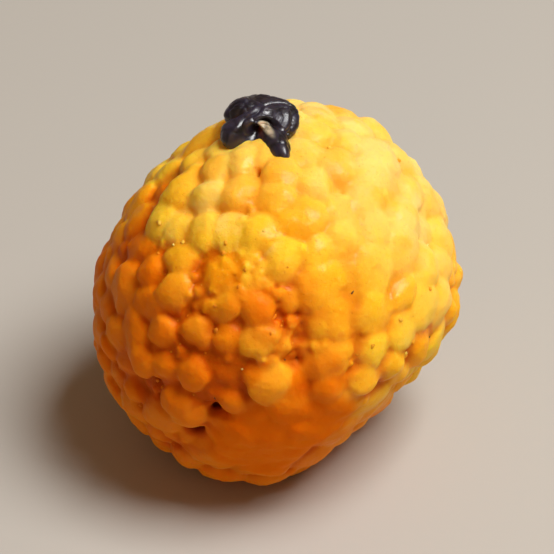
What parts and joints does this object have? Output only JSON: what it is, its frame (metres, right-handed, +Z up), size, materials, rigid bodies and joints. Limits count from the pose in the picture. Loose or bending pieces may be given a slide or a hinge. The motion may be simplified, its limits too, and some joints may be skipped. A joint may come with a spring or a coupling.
{
  "type": "boondi ladoo",
  "caption": "Round sweet of small fried gram-flour pearls pressed together by hand, with a raisin set in its top and a small flat spot to rest on.",
  "frame": {"origin": "middle of the flat spot that the ball rests on", "axes": "+Z up; -Y is the front, where a thumb-smeared patch lies low on the ball; the raisin is at the top"},
  "size_m": [0.0454, 0.0444, 0.046],
  "materials": {
    "boondi": "satin, moist with syrup",
    "raisin": "wrinkled and slightly glossy"
  },
  "bodies": {
    "root": {"boondi_ball": "boondi", "raisin": "raisin"}
  },
  "joints": []
}
